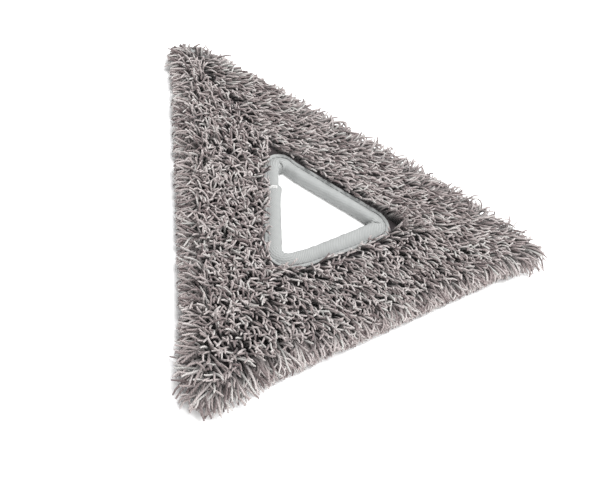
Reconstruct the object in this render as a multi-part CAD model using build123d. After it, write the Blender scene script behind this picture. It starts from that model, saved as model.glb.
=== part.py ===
"""Triangular microfibre pad for the head of a steam mop, built as the sewn assembly that it is.

Frame: millimetres, +Z up through the pile.  The origin is the centre of the triangular steam opening,
in the plane that the pad lies on, which is also the plane that meets the mop head's plate in use.
One tip of the triangle points to -Y, and the side opposite to it, the rear, is parallel to X.

From the bottom: a brushed loop lining, an absorbent wadding and the knitted ground cloth of the pile.
Two folded tapes bind the stack, one round the opening and one round the outer edge, and each is held by
a lockstitch of two threads.  The pile is left as plain envelopes, one for each side of the triangle,
with the strands that hang over the outer edge as separate fringes.
"""

import os
from math import cos, radians, sin, sqrt

from build123d import *

# ---- driving dimensions ----
cloth_side = 300.0  # outer triangle of the bound cloth, between its sharp corners
cloth_corner = 5.0  # rounding of the bound cloth's three tips
opening_side = 80.0  # clear triangle inside the opening's tape, between its sharp corners
opening_corner = 2.5  # rounding of the clear opening's corners

lining_thick = 1.6  # brushed loop lining, where it shows
wadding_thick = 3.6  # absorbent wadding
ground_thick = 1.0  # knitted ground of the pile

tape_thick = 0.8  # both tapes
tape_nose = 1.6  # tape and turned-in allowance between the cut layers and the tape's folded edge
opening_tape_width = 12.0  # from the clear opening to the tape's sewn lip
edge_tape_width = 6.5  # from the outer fold to the tape's sewn lip
tape_roll = 2.4  # rounding of a tape's fold

opening_stitch_from_lip = 2.8  # from the opening tape's lip to its stitch line
edge_stitch_from_lip = 2.2  # from the edge tape's lip to its stitch line
stitch_pitch = 4.0  # one stitch and the hole beside it
stitch_long = 3.0  # thread that shows between two holes
thread_wide = 0.6
thread_thick = 0.35
groove_wide = 1.2  # the thread pulls a groove of this width into the tape

lap_edge = 19.0  # the tape's turned-in end, from the middle of the left side towards the rear left corner
lap_long = 10.0  # the tape's end lies over its start for this length
lap_thick = 0.8
tack_from_edge = 2.5  # from the turned-in end to the bar tack
tack_long = 5.0  # bar tack across the outer part of the tape
tack_wide = 1.8
tack_thick = 0.5

pile_height = 12.0  # pile above the ground cloth
pile_overhang = 9.0  # how far the fringe stands out from the bound edge
pile_round_inner = 3.5  # the pile's shoulder beside the opening's tape
pile_round_outer = 7.0  # the pile's shoulder over the outer edge
fringe_lift = 1.0  # the fringe's tips end this far above the lining's plane
sector_gap = 0.2  # parting between two sides of the pile
clearance = 0.1  # between a pile envelope and the cloth or tape beside it

# ---- derived dimensions ----
side_to_reach = 1 / (2 * sqrt(3))  # from a triangle's side to the distance of its sides from the centre
cloth_reach = cloth_side * side_to_reach
opening_reach = opening_side * side_to_reach
opening_lip = opening_reach + opening_tape_width
edge_lip = cloth_reach - edge_tape_width
opening_seam = opening_lip - opening_stitch_from_lip
edge_seam = edge_lip + edge_stitch_from_lip
layer_inner = opening_reach + tape_nose
layer_outer = cloth_reach - tape_nose
pile_reach = cloth_reach + pile_overhang

stack_bottom = tape_thick  # the lining's rim is pinched up to here under a tape
lining_top = lining_thick
wadding_top = lining_top + wadding_thick
ground_top = wadding_top + ground_thick
tape_top = ground_top + tape_thick
pile_top = ground_top + pile_height

parting_angles = {"rear": 90.0, "left": 210.0, "right": 330.0}  # direction of each side from the centre


def corner_at(reach):
    """Rounding that keeps an outline of this reach parallel to the cloth's edge or to the clear opening."""
    inside = opening_corner + reach - opening_reach
    outside = cloth_corner + reach - cloth_reach
    return inside if abs(reach - opening_reach) < abs(reach - cloth_reach) else max(outside, opening_corner)


def outline(reach):
    """Flat triangular face whose sides are this far from the centre, tip to -Y, with rounded corners."""
    tips = [Vector(2 * reach * cos(radians(a)), 2 * reach * sin(radians(a))) for a in (270.0, 30.0, 150.0)]
    face = make_face(Polyline(*tips, close=True).edges())
    return fillet(face.vertices(), corner_at(reach)).face()


def prism(reach, low, high):
    """Solid triangle of this reach between two heights."""
    return Pos(0, 0, low) * extrude(outline(reach), high - low)


def ring(inner, outer, low, high):
    """Prism of the outer reach with the inner one cut out of it."""
    return prism(outer, low, high) - prism(inner, low - 1, high + 1)


def edges_at(part, reach, height):
    """The edges of a prism's top or bottom rim at this height that follow the outline of this reach."""
    rim = outline(reach).outer_wire()
    middles = [(edge, edge.position_at(0.5)) for edge in part.edges()]
    level = [(edge, middle) for edge, middle in middles if abs(middle.Z - height) < 0.01]
    return [edge for edge, middle in level if rim.distance_to(Vector(middle.X, middle.Y, 0)) < 0.01]


def lining():
    """Brushed loop lining: full thickness where it shows, pinched thin under both tapes."""
    shown = ring(opening_lip, edge_lip, 0, lining_top)
    rims = ring(layer_inner, layer_outer, stack_bottom, lining_top)
    return shown + rims


def wadding():
    """Absorbent felt between the lining and the ground cloth."""
    return ring(layer_inner, layer_outer, lining_top, wadding_top)


def ground_cloth():
    """Knitted cloth that the pile strands are looped into."""
    return ring(layer_inner, layer_outer, wadding_top, ground_top)


def stitch_grooves(reach):
    """The grooves that a stitch line pulls into both faces of a tape."""
    low, high = reach - groove_wide / 2, reach + groove_wide / 2
    return [
        ring(low, high, tape_top - thread_thick, tape_top + 1),
        ring(low, high, -1, thread_thick),
    ]


def opening_tape():
    """Tape folded round the opening's edge, with its lapped end on the left side."""
    body = ring(opening_reach, opening_lip, 0, tape_top)
    body = fillet(edges_at(body, opening_reach, 0) + edges_at(body, opening_reach, tape_top), tape_roll)
    body -= ring(layer_inner, opening_lip + 1, stack_bottom, ground_top)
    for groove in stitch_grooves(opening_seam):
        body -= groove
    return body + lap()


def lap_frame():
    """Frame on the left side: X runs from its middle to the rear left corner, Y away from the opening."""
    return Rot(0, 0, parting_angles["left"] - 90)


def lap_rows():
    """The lap's two long edges, as distances from the opening's centre: the fold's shoulder and the groove."""
    return opening_reach + tape_roll, opening_seam - groove_wide / 2


def lap():
    """The end of the opening's tape, lying over its start between the fold and the stitch line."""
    near, far = lap_rows()
    block = Box(lap_long, far - near, lap_thick, align=(Align.MAX, Align.MIN, Align.MIN))
    return lap_frame() * Pos(lap_edge, near, tape_top) * block


def bar_tack():
    """Short dense row of stitches through the lap, across the outer part of the tape."""
    far = lap_rows()[1]
    block = Box(tack_wide, tack_long, tack_thick, align=(Align.MAX, Align.MAX, Align.MIN))
    return lap_frame() * Pos(lap_edge - tack_from_edge, far, tape_top + lap_thick) * block


def edge_tape():
    """Tape folded round the outer edge of the three layers."""
    body = ring(edge_lip, cloth_reach, 0, tape_top)
    body = fillet(edges_at(body, cloth_reach, 0) + edges_at(body, cloth_reach, tape_top), tape_roll)
    body -= ring(edge_lip - 1, layer_outer, stack_bottom, ground_top)
    for groove in stitch_grooves(edge_seam):
        body -= groove
    return body


def stitches(reach, low):
    """One thread of a lockstitch: the lengths that show along an outline, as separate solids."""
    path = outline(reach).outer_wire()
    count = 3 * round(path.length / stitch_pitch / 3)
    block = Box(stitch_long, thread_wide, thread_thick, align=(Align.CENTER, Align.CENTER, Align.MIN))
    found = []
    for index in range(count):
        share = (index + 0.5) / count
        middle = path.position_at(share)
        along = path.tangent_at(share)
        plane = Plane(origin=(middle.X, middle.Y, low), x_dir=(along.X, along.Y, 0), z_dir=(0, 0, 1))
        found.append(plane * block)
    return Compound(children=found)


def side_wedge(side):
    """Tall wedge that holds one side of the triangle, parted from its neighbours by half the sector gap."""
    far = 3 * pile_reach
    middle = parting_angles[side]
    spread = [Vector(far * cos(radians(middle + a)), far * sin(radians(middle + a))) for a in (-60, 0, 60)]
    apex = Vector(sector_gap * cos(radians(middle)), sector_gap * sin(radians(middle)))
    face = make_face(Polyline(apex, *[apex + p for p in spread], close=True).edges())
    return Pos(0, 0, -1) * extrude(face, pile_top + 2)


def pile_field():
    """Envelope of all the strands that stand on the bound cloth."""
    inner = opening_lip + clearance
    body = ring(inner, cloth_reach, ground_top + clearance, pile_top)
    body = fillet(edges_at(body, inner, pile_top), pile_round_inner)
    return body - ring(edge_lip - clearance, pile_reach, 0, tape_top + clearance)


def pile_fringe():
    """Envelope of the strands that hang over the outer edge."""
    body = prism(pile_reach, fringe_lift, pile_top)
    body = fillet(edges_at(body, pile_reach, pile_top), pile_round_outer)
    return body - prism(cloth_reach + clearance, 0, pile_top + 1)


def build():
    """Every sub-part by its node's name."""
    top_thread = tape_top - thread_thick
    made = {
        "loop_lining": lining(),
        "absorbent_wadding": wadding(),
        "pile_ground_cloth": ground_cloth(),
        "opening_tape": opening_tape(),
        "opening_needle_thread": stitches(opening_seam, top_thread),
        "opening_bobbin_thread": stitches(opening_seam, 0),
        "lap_bar_tack": bar_tack(),
        "edge_tape": edge_tape(),
        "edge_needle_thread": stitches(edge_seam, top_thread),
        "edge_bobbin_thread": stitches(edge_seam, 0),
    }
    field, fringe = pile_field(), pile_fringe()
    for side in parting_angles:
        wedge = side_wedge(side)
        made[f"pile_{side}"] = field & wedge
        made[f"fringe_{side}"] = fringe & wedge
    return made


if __name__ == "__main__":
    os.makedirs("parts", exist_ok=True)
    for node, shape in build().items():
        export_step(shape, f"parts/{node}.step")
        print(node, round(shape.volume), "mm3")
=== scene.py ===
"""Looks of the triangular string-pile pad: strands, bound opening, bound edge, linings, seams and the studio.

Everything is in metres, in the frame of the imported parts: +Z up through the pile, one tip of the triangle to
-Y, and the origin in the middle of the steam opening.  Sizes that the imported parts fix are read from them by
Datum; what is only a matter of looks is a field of the class that it belongs to.
"""

import logging
import math
from dataclasses import dataclass, field
from enum import Enum
from functools import cached_property
from typing import Any, Iterable, NamedTuple, Optional, Sequence

import bpy
from mathutils import Matrix, Vector


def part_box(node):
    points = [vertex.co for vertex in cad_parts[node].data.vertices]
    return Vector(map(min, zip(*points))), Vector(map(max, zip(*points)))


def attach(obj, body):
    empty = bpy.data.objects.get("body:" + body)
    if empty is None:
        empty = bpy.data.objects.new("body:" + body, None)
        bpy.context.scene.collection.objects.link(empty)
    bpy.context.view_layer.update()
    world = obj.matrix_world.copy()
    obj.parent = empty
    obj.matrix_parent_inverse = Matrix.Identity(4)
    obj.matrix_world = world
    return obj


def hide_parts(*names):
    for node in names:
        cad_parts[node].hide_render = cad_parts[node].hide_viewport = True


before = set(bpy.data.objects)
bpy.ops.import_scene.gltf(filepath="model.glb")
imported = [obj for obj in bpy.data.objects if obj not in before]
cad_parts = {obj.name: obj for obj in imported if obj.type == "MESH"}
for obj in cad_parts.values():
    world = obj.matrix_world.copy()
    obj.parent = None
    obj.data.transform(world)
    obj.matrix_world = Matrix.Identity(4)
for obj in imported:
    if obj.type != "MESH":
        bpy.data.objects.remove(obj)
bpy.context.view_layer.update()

MM = 0.001
BODY = "root"
UV = "UVMap"
TURN = 2 * math.pi
log = logging.getLogger("pad")

Colour = tuple[float, float, float]

NEAR_TIP, RIGHT_TIP, LEFT_TIP = range(3)
RIGHT_RUN, REAR_RUN, LEFT_RUN = range(3)


# ---------------------------------------------------------------------------------------------- geometry help


class Side(Enum):
    """A side of the triangle, by the bearing in degrees of its outward direction."""

    REAR = 90.0
    LEFT = 210.0
    RIGHT = 330.0

    @property
    def label(self) -> str:
        """The side's word in the names of nodes and pieces."""
        return self.name.lower()

    @property
    def outward(self) -> Vector:
        """Unit vector from the centre to the middle of the side."""
        return heading(self.value)

    @property
    def along(self) -> Vector:
        """Unit vector along the side, anticlockwise seen from above."""
        return heading(self.value + 90)


class Station(NamedTuple):
    """A place on the way round a rounded triangle: on a corner's arc or on a straight side."""

    on_corner: bool
    index: int
    share: float


def heading(degrees: float) -> Vector:
    """Level unit vector at a bearing anticlockwise from +X."""
    return Vector((math.cos(math.radians(degrees)), math.sin(math.radians(degrees)), 0.0))


def tip_heading(index: int) -> Vector:
    """Level unit vector from the centre to a tip, by the tip's number."""
    return heading(270 + 120 * index)


def smooth(value: float, low: float, high: float) -> float:
    """Eased 0 to 1 as value goes from low to high."""
    share = min(max((value - low) / (high - low), 0.0), 1.0)
    return share * share * (3 - 2 * share)


def bell(value: float, width: float) -> float:
    """Bell curve of height 1 about zero."""
    return math.exp(-((value / width) ** 2))


@dataclass(frozen=True)
class Rounded:
    """Outline of an equilateral triangle with rounded tips.

    reach is the distance from the centre to a side, corner the radius of the tips.  The tips count from the
    one at -Y anticlockwise, NEAR_TIP, RIGHT_TIP and LEFT_TIP, and each is followed by the straight run of the
    same number, RIGHT_RUN, REAR_RUN and LEFT_RUN.
    """

    reach: float
    corner: float

    def arc_centre(self, index: int) -> Vector:
        """Centre of a tip's rounding."""
        return tip_heading(index) * 2 * (self.reach - self.corner)

    def arc_point(self, index: int, share: float) -> Vector:
        """Point on a tip's rounding, share 0 to 1 anticlockwise."""
        return self.arc_centre(index) + heading(270 + 120 * index + (share - 0.5) * 120) * self.corner

    def at(self, station: Station) -> Vector:
        """Point of the outline at a station.

        Args:
            station: the place on the way round.

        Returns:
            The point, in the plane.
        """
        if station.on_corner:
            return self.arc_point(station.index, station.share)
        start, end = self.arc_point(station.index, 1.0), self.arc_point(station.index + 1, 0.0)
        return start.lerp(end, station.share)

    def radius(self, swing: float) -> float:
        """Distance from the centre to the outline, at an angle in radians from a side's outward direction.

        Args:
            swing: the angle, from -60 to 60 degrees.

        Returns:
            The distance in metres.
        """
        swing = abs(swing)
        if self.reach * math.tan(swing) <= math.sqrt(3) * (self.reach - self.corner):
            return self.reach / math.cos(swing)
        away, turn = 2 * (self.reach - self.corner), math.radians(60) - swing
        return away * math.cos(turn) + math.sqrt(max(self.corner**2 - (away * math.sin(turn)) ** 2, 0.0))

    def grown(self, amount: float, least_corner: float = 0.0) -> "Rounded":
        """The parallel outline further out by amount."""
        return Rounded(self.reach + amount, max(self.corner + amount, least_corner))

    @property
    def length(self) -> float:
        """Length of the outline."""
        return 6 * math.sqrt(3) * (self.reach - self.corner) + TURN * self.corner

    @property
    def area(self) -> float:
        """Area inside the outline."""
        return 3 * math.sqrt(3) * self.reach**2 - (3 * math.sqrt(3) - math.pi) * self.corner**2


def stations(per_side: int, per_corner: int) -> list[Station]:
    """Evenly shared stations all the way round.

    Args:
        per_side: steps on each straight side.
        per_corner: steps on each tip's arc.

    Returns:
        The stations, anticlockwise from the start of the -Y tip's arc.
    """
    found: list[Station] = []
    for index in range(3):
        found += [Station(True, index, step / per_corner) for step in range(per_corner)]
        found += [Station(False, index, step / per_side) for step in range(per_side)]
    return found


def new_object(name: str, mesh: bpy.types.Mesh) -> bpy.types.Object:
    """Puts a mesh into the scene as an object at the origin.

    Args:
        name: the object's name.
        mesh: its mesh, already in place.

    Returns:
        The object.
    """
    made = bpy.data.objects.new(name, mesh)
    bpy.context.scene.collection.objects.link(made)
    return made


def baked(piece: bpy.types.Object) -> bpy.types.Object:
    """Turns a piece and its modifiers into a plain mesh, and takes the modifiers off.

    Args:
        piece: the object, with its modifiers.

    Returns:
        The same object with a plain mesh.
    """
    bpy.context.view_layer.update()
    graph = bpy.context.evaluated_depsgraph_get()
    mesh = bpy.data.meshes.new_from_object(
        piece.evaluated_get(graph), preserve_all_data_layers=True, depsgraph=graph
    )
    mesh.name = piece.name
    piece.modifiers.clear()
    piece.data = mesh
    return piece


def softened(piece: bpy.types.Object) -> bpy.types.Object:
    """Rounds a swept skin with one step of subdivision, and bakes it.

    Args:
        piece: the swept skin.

    Returns:
        The same object with a plain, finer mesh.
    """
    finer = piece.modifiers.new("finer", "SUBSURF")
    finer.levels = finer.render_levels = 1
    return baked(piece)


def swept(
    name: str,
    loops: Sequence[Sequence[Vector]],
    around: Sequence[float],
    across: Sequence[float],
) -> bpy.types.Object:
    """Closed skin over a ring of closed loops.

    Args:
        name: the object's name.
        loops: one closed loop of points for each station; the last loop joins the first.
        around: the way covered from the first loop to each loop and back to the first, in metres.
        across: the way covered along a loop to each of its points and back to its first, in metres.

    Returns:
        The object, smooth shaded, with a UV map in metres along and across.
    """
    count, size = len(loops), len(loops[0])
    points = [tuple(point) for loop in loops for point in loop]
    faces: list[tuple[int, ...]] = []
    corners: list[tuple[float, float]] = []
    for i in range(count):
        for j in range(size):
            following, beside = (i + 1) % count, (j + 1) % size
            faces.append((i * size + j, i * size + beside, following * size + beside, following * size + j))
            corners += [
                (around[i], across[j]),
                (around[i], across[j + 1]),
                (around[i + 1], across[j + 1]),
                (around[i + 1], across[j]),
            ]
    mesh = bpy.data.meshes.new(name)
    mesh.from_pydata(points, [], faces)
    layer = mesh.uv_layers.new(name=UV)
    layer.data.foreach_set("uv", [value for pair in corners for value in pair])
    mesh.polygons.foreach_set("use_smooth", [True] * len(faces))
    piece = new_object(name, mesh)
    face_out(piece)
    return piece


def face_out(piece: bpy.types.Object) -> None:
    """Turns a closed skin's faces outwards, judged by the volume that they enclose.

    Args:
        piece: the closed skin, all of four-sided faces.
    """
    mesh = piece.data
    volume = 0.0
    for polygon in mesh.polygons:
        a, b, c, d = (mesh.vertices[i].co for i in polygon.vertices)
        volume += a.dot(b.cross(c)) + a.dot(c.cross(d))
    if volume < 0:
        mesh.flip_normals()


def travelled(points: Sequence[Vector]) -> list[float]:
    """The way covered to each point of a closed loop and back to the first.

    Args:
        points: the loop's points in order.

    Returns:
        The lengths in metres, one more than the points.
    """
    found = [0.0]
    for index, point in enumerate(points):
        found.append(found[-1] + (points[(index + 1) % len(points)] - point).length)
    return found


# ------------------------------------------------------------------------------------------------ node graphs


class Graph:
    """A node tree under construction, with short calls for the nodes that it holds."""

    def __init__(self, tree: bpy.types.NodeTree) -> None:
        """Starts on a tree."""
        self.tree = tree

    def feed(self, socket: bpy.types.NodeSocket, value: Any) -> None:
        """Links a socket to another one, or sets its value.

        Args:
            socket: the input.
            value: an output to link, or a plain value.
        """
        if isinstance(value, bpy.types.NodeSocket):
            self.tree.links.new(value, socket)
        else:
            socket.default_value = value

    def node(self, kind: str, inputs: Optional[dict[Any, Any]] = None, **settings: Any) -> bpy.types.Node:
        """Adds a node.

        Args:
            kind: Blender's name for the node's type.
            inputs: values or sockets, by the input's name or place.
            **settings: the node's own properties.

        Returns:
            The node.
        """
        made = self.tree.nodes.new(kind)
        for name, value in settings.items():
            setattr(made, name, value)
        for key, value in (inputs or {}).items():
            self.feed(made.inputs[key], value)
        return made

    def math(self, operation: str, *terms: Any) -> bpy.types.NodeSocket:
        """Result of a Math node."""
        return self.node("ShaderNodeMath", dict(enumerate(terms)), operation=operation).outputs[0]

    def vector(self, operation: str, *terms: Any, scale: Any = None) -> bpy.types.NodeSocket:
        """Vector result of a Vector Math node.

        Args:
            operation: Blender's name for the operation.
            *terms: values or sockets, in order.
            scale: the factor, where the operation has one.

        Returns:
            The result.
        """
        made = self.node("ShaderNodeVectorMath", dict(enumerate(terms)), operation=operation)
        if scale is not None:
            self.feed(made.inputs["Scale"], scale)
        return made.outputs["Vector"]

    def bundle(self, x: Any, y: Any, z: Any) -> bpy.types.NodeSocket:
        """Vector made of three numbers."""
        return self.node("ShaderNodeCombineXYZ", {0: x, 1: y, 2: z}).outputs[0]

    def spread(self, value: bpy.types.NodeSocket, low: Any, high: Any) -> bpy.types.NodeSocket:
        """A 0 to 1 number spread from low to high."""
        made = self.node("ShaderNodeMapRange", {"Value": value, "To Min": low, "To Max": high})
        return made.outputs[0]


class Builder(Graph):
    """A Geometry Nodes tree with named inputs."""

    def __init__(self, name: str) -> None:
        """Starts a tree that takes and gives a geometry.

        Args:
            name: the tree's name.
        """
        super().__init__(bpy.data.node_groups.new(name, "GeometryNodeTree"))
        face = self.tree.interface
        face.new_socket("Geometry", in_out="INPUT", socket_type="NodeSocketGeometry")
        face.new_socket("Geometry", in_out="OUTPUT", socket_type="NodeSocketGeometry")
        self.start = self.node("NodeGroupInput")
        self.end = self.node("NodeGroupOutput")

    def asks(self, name: str, kind: str = "NodeSocketFloat") -> bpy.types.NodeSocket:
        """Adds a named input to the tree, and gives the socket that it is read from."""
        self.tree.interface.new_socket(name, in_out="INPUT", socket_type=kind)
        return self.start.outputs[name]

    def chance(self, low: Any, high: Any, seed: Any) -> bpy.types.NodeSocket:
        """A random number for each element."""
        made = self.node("FunctionNodeRandomValue", {2: low, 3: high, "Seed": seed}, data_type="FLOAT")
        return made.outputs[1]

    def noise(self, where: Any, scale: Any, detail: float = 2.0) -> bpy.types.Node:
        """Smooth noise over the places given, as a number and as a vector."""
        return self.node("ShaderNodeTexNoise", {"Vector": where, "Scale": scale, "Detail": detail})

    def turned(self, way: Any, angle: Any) -> bpy.types.NodeSocket:
        """A direction turned about the upright.

        Args:
            way: the direction.
            angle: the angle in radians.

        Returns:
            The turned direction.
        """
        made = self.node("ShaderNodeVectorRotate", {"Vector": way, "Angle": angle}, rotation_type="Z_AXIS")
        return made.outputs[0]

    def keep(
        self, geometry: Any, name: str, value: Any, kind: str = "FLOAT", domain: str = "POINT"
    ) -> bpy.types.NodeSocket:
        """Stores a named attribute on a geometry, and gives the geometry.

        Args:
            geometry: the geometry.
            name: the attribute's name.
            value: its value on each element.
            kind: its data type.
            domain: what it is stored on.

        Returns:
            The geometry with the attribute.
        """
        made = self.node(
            "GeometryNodeStoreNamedAttribute",
            {"Geometry": geometry, "Name": name},
            data_type=kind,
            domain=domain,
        )
        self.feed(next(s for s in made.inputs if s.name == "Value" and s.enabled), value)
        return made.outputs["Geometry"]

    def recall(self, name: str, kind: str = "FLOAT") -> bpy.types.NodeSocket:
        """Reads a named attribute."""
        made = self.node("GeometryNodeInputNamedAttribute", {"Name": name}, data_type=kind)
        return next(s for s in made.outputs if s.name == "Attribute" and s.enabled)

    def tube(
        self, curve: Any, diameter: Any, sides: int, thickness: Any, pitch: float
    ) -> bpy.types.NodeSocket:
        """Round yarn along a curve, with a UV map of turns round it and twists along it.

        Args:
            curve: the curve geometry.
            diameter: the yarn's diameter.
            sides: how many sides its section has.
            thickness: the share of the diameter at each point of the curve.
            pitch: length of one twist of the yarn.

        Returns:
            The yarn's mesh, smooth shaded.
        """
        along = self.node("GeometryNodeSplineParameter")
        curve = self.keep(curve, "along", along.outputs["Factor"])
        curve = self.keep(curve, "twists", self.math("DIVIDE", along.outputs["Length"], pitch))
        section = {"Resolution": sides, "Radius": self.math("MULTIPLY", diameter, 0.5)}
        ring = self.node("GeometryNodeCurvePrimitiveCircle", section).outputs[0]
        ring = self.keep(ring, "turns", self.node("GeometryNodeSplineParameter").outputs["Factor"])
        made = self.node("GeometryNodeCurveToMesh", {"Profile Curve": ring, "Fill Caps": True})
        if "Scale" in made.inputs:
            self.feed(made.inputs["Scale"], thickness)
        else:
            curve = self.node("GeometryNodeSetCurveRadius", {"Curve": curve, "Radius": thickness}).outputs[0]
        self.feed(made.inputs["Curve"], curve)
        turns = self.recall("turns")
        mean = self.node("GeometryNodeFieldOnDomain", {0: turns}, domain="FACE", data_type="FLOAT").outputs[0]
        wraps = self.math("GREATER_THAN", self.math("SUBTRACT", mean, turns), 0.3)
        place = self.bundle(self.math("ADD", turns, wraps), self.recall("twists"), 0.0)
        mesh = self.keep(made.outputs[0], UV, place, kind="FLOAT2", domain="CORNER")
        return self.node("GeometryNodeSetShadeSmooth", {"Geometry": mesh}).outputs[0]

    def forget(self, geometry: Any, names: Iterable[str]) -> bpy.types.NodeSocket:
        """Removes named attributes that only the tree needs.

        Args:
            geometry: the geometry.
            names: the attributes' names.

        Returns:
            The geometry without them.
        """
        for name in names:
            made = self.node("GeometryNodeRemoveAttribute", {"Geometry": geometry, "Name": name})
            geometry = made.outputs[0]
        return geometry

    def close(self, geometry: Any, material: Any) -> None:
        """Ends the tree in real geometry with its material.

        Args:
            geometry: the finished geometry.
            material: its material.
        """
        solid = self.node("GeometryNodeRealizeInstances", {"Geometry": geometry}).outputs[0]
        dressed = self.node("GeometryNodeSetMaterial", {"Geometry": solid, "Material": material}).outputs[0]
        self.feed(self.end.inputs[0], dressed)

    def run(self, piece: bpy.types.Object, values: dict[str, Any]) -> bpy.types.Object:
        """Puts the tree on a piece, sets its inputs by identifier and bakes the result.

        Args:
            piece: the object whose geometry the tree takes.
            values: the tree's inputs, by name.

        Returns:
            The same object with the finished plain mesh.
        """
        modifier = piece.modifiers.new("build", "NODES")
        modifier.node_group = self.tree
        items = self.tree.interface.items_tree
        known = {item.name: item.identifier for item in items if item.in_out == "INPUT"}
        for name, value in values.items():
            modifier[known[name]] = value
        return baked(piece)


# --------------------------------------------------------------------------------------------------- finishes


class Paint(Graph):
    """A material's shader tree around one Principled BSDF."""

    def __init__(self, name: str, roughness: float, sheen: float = 0.0, sheen_roughness: float = 0.5) -> None:
        """Starts a material with a constant roughness and sheen.

        Args:
            name: the material's name.
            roughness: its roughness.
            sheen: how much sheen its fibres give.
            sheen_roughness: how wide that sheen spreads.
        """
        self.material = bpy.data.materials.new(name)
        self.material.use_nodes = True
        super().__init__(self.material.node_tree)
        self.shader = self.tree.nodes["Principled BSDF"]
        self.shader.inputs["Roughness"].default_value = roughness
        self.shader.inputs["Specular IOR Level"].default_value = 0.2
        self.shader.inputs["Sheen Weight"].default_value = sheen
        self.shader.inputs["Sheen Roughness"].default_value = sheen_roughness

    def place(self) -> bpy.types.NodeSocket:
        """Object coordinates."""
        return self.node("ShaderNodeTexCoord").outputs["Object"]

    def sheet(self) -> tuple[bpy.types.NodeSocket, bpy.types.NodeSocket]:
        """The two numbers of the piece's own UV map."""
        parts = self.node("ShaderNodeSeparateXYZ", {0: self.node("ShaderNodeUVMap", uv_map=UV).outputs[0]})
        return parts.outputs[0], parts.outputs[1]

    def noise(self, where: Any, size: float, detail: float = 2.0) -> bpy.types.NodeSocket:
        """Noise of about this size of feature, 0 to 1."""
        made = self.node("ShaderNodeTexNoise", {"Vector": where, "Scale": 1 / size, "Detail": detail})
        return made.outputs[0]

    def ramp(self, value: Any, stops: Sequence[tuple[float, Colour]]) -> bpy.types.NodeSocket:
        """Colours along a number.

        Args:
            value: the number, 0 to 1.
            stops: places on the number with their colours, in order.

        Returns:
            The colour.
        """
        made = self.node("ShaderNodeValToRGB", {0: value})
        band = made.color_ramp.elements
        while len(band) < len(stops):
            band.new(0.5)
        for element, (place, colour) in zip(band, stops):
            element.position = place
            element.color = (*colour, 1.0)
        return made.outputs[0]

    def times(self, colour: Any, factor: Any) -> bpy.types.NodeSocket:
        """A colour times a number."""
        return self.vector("SCALE", colour, scale=factor)

    def wave(self, value: Any, pitch: float) -> bpy.types.NodeSocket:
        """0 to 1 ripple along a length, with this pitch."""
        turned = self.math("SINE", self.math("MULTIPLY", value, TURN / pitch))
        return self.math("MULTIPLY_ADD", turned, 0.5, 0.5)

    def finish(self, colour: Any, height: Any, depth: float, strength: float = 1.0) -> bpy.types.Material:
        """Joins the colour and the relief to the shader.

        Args:
            colour: the base colour's socket.
            height: 0 to 1 relief.
            depth: what 1 of the relief is, in metres.
            strength: how much of the relief shows.

        Returns:
            The material.
        """
        self.feed(self.shader.inputs["Base Color"], colour)
        made = self.node("ShaderNodeBump", {"Height": height, "Distance": depth, "Strength": strength})
        self.feed(self.shader.inputs["Normal"], made.outputs[0])
        return self.material


@dataclass(frozen=True)
class YarnFinish:
    """Twisted microfibre strands: a mix of tints that runs from lit down to shaded yarn colours, with painted
    shade that darkens each strand towards its root and painted shade in the grooves of the plies that wind
    round.
    """

    # Per-strand tints: greyish and taupe yarn, running down to shaded copies of it. The dark end is painted
    # shade, so that strands given it at random read as shadowed gaps.
    lit_to_shaded_tints: tuple[tuple[float, Colour], ...] = (
        (0.0, (0.055, 0.038, 0.04)),
        (0.22, (0.18, 0.138, 0.137)),
        (0.42, (0.35, 0.298, 0.29)),
        (0.72, (0.52, 0.47, 0.46)),
        (1.0, (0.51, 0.515, 0.49)),
    )
    # Painted shade: each strand darkens smoothly to this factor at its root, over this share of its length,
    # for the shadow deep in the pile.
    root_painted_shade_floor: float = 0.015
    root_painted_shade_span: float = 0.98
    plies: int = 2
    # Painted shade in the grooves between the plies: the colour dips to this factor along the winding wave.
    ply_groove_shade: float = 0.72

    def material(self) -> bpy.types.Material:
        """Builds the finish.

        Returns:
            The material.
        """
        paint = Paint("twisted_microfibre", roughness=0.9, sheen=0.25, sheen_roughness=0.6)
        tint = paint.node("ShaderNodeAttribute", attribute_name="tint").outputs["Fac"]
        along = paint.node("ShaderNodeAttribute", attribute_name="along").outputs["Fac"]
        colour = paint.ramp(tint, self.lit_to_shaded_tints)
        # Painted shade darkening the colour towards each strand's root.
        painted_root_shade = paint.node(
            "ShaderNodeMapRange",
            {"Value": along, "From Max": self.root_painted_shade_span, "To Min": self.root_painted_shade_floor, "To Max": 1.0},
            interpolation_type="SMOOTHSTEP",
        ).outputs[0]
        turns, twists = paint.sheet()
        wound = paint.wave(paint.math("ADD", paint.math("MULTIPLY", turns, self.plies), twists), 1.0)
        fuzz = paint.noise(paint.place(), 0.25 * MM)
        relief = paint.math("MULTIPLY_ADD", fuzz, 0.4, wound)
        # Painted shade: root darkening times the darker ply grooves.
        shade = paint.math("MULTIPLY", painted_root_shade, paint.spread(wound, self.ply_groove_shade, 1.0))
        return paint.finish(paint.times(colour, shade), relief, 0.16 * MM)


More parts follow.
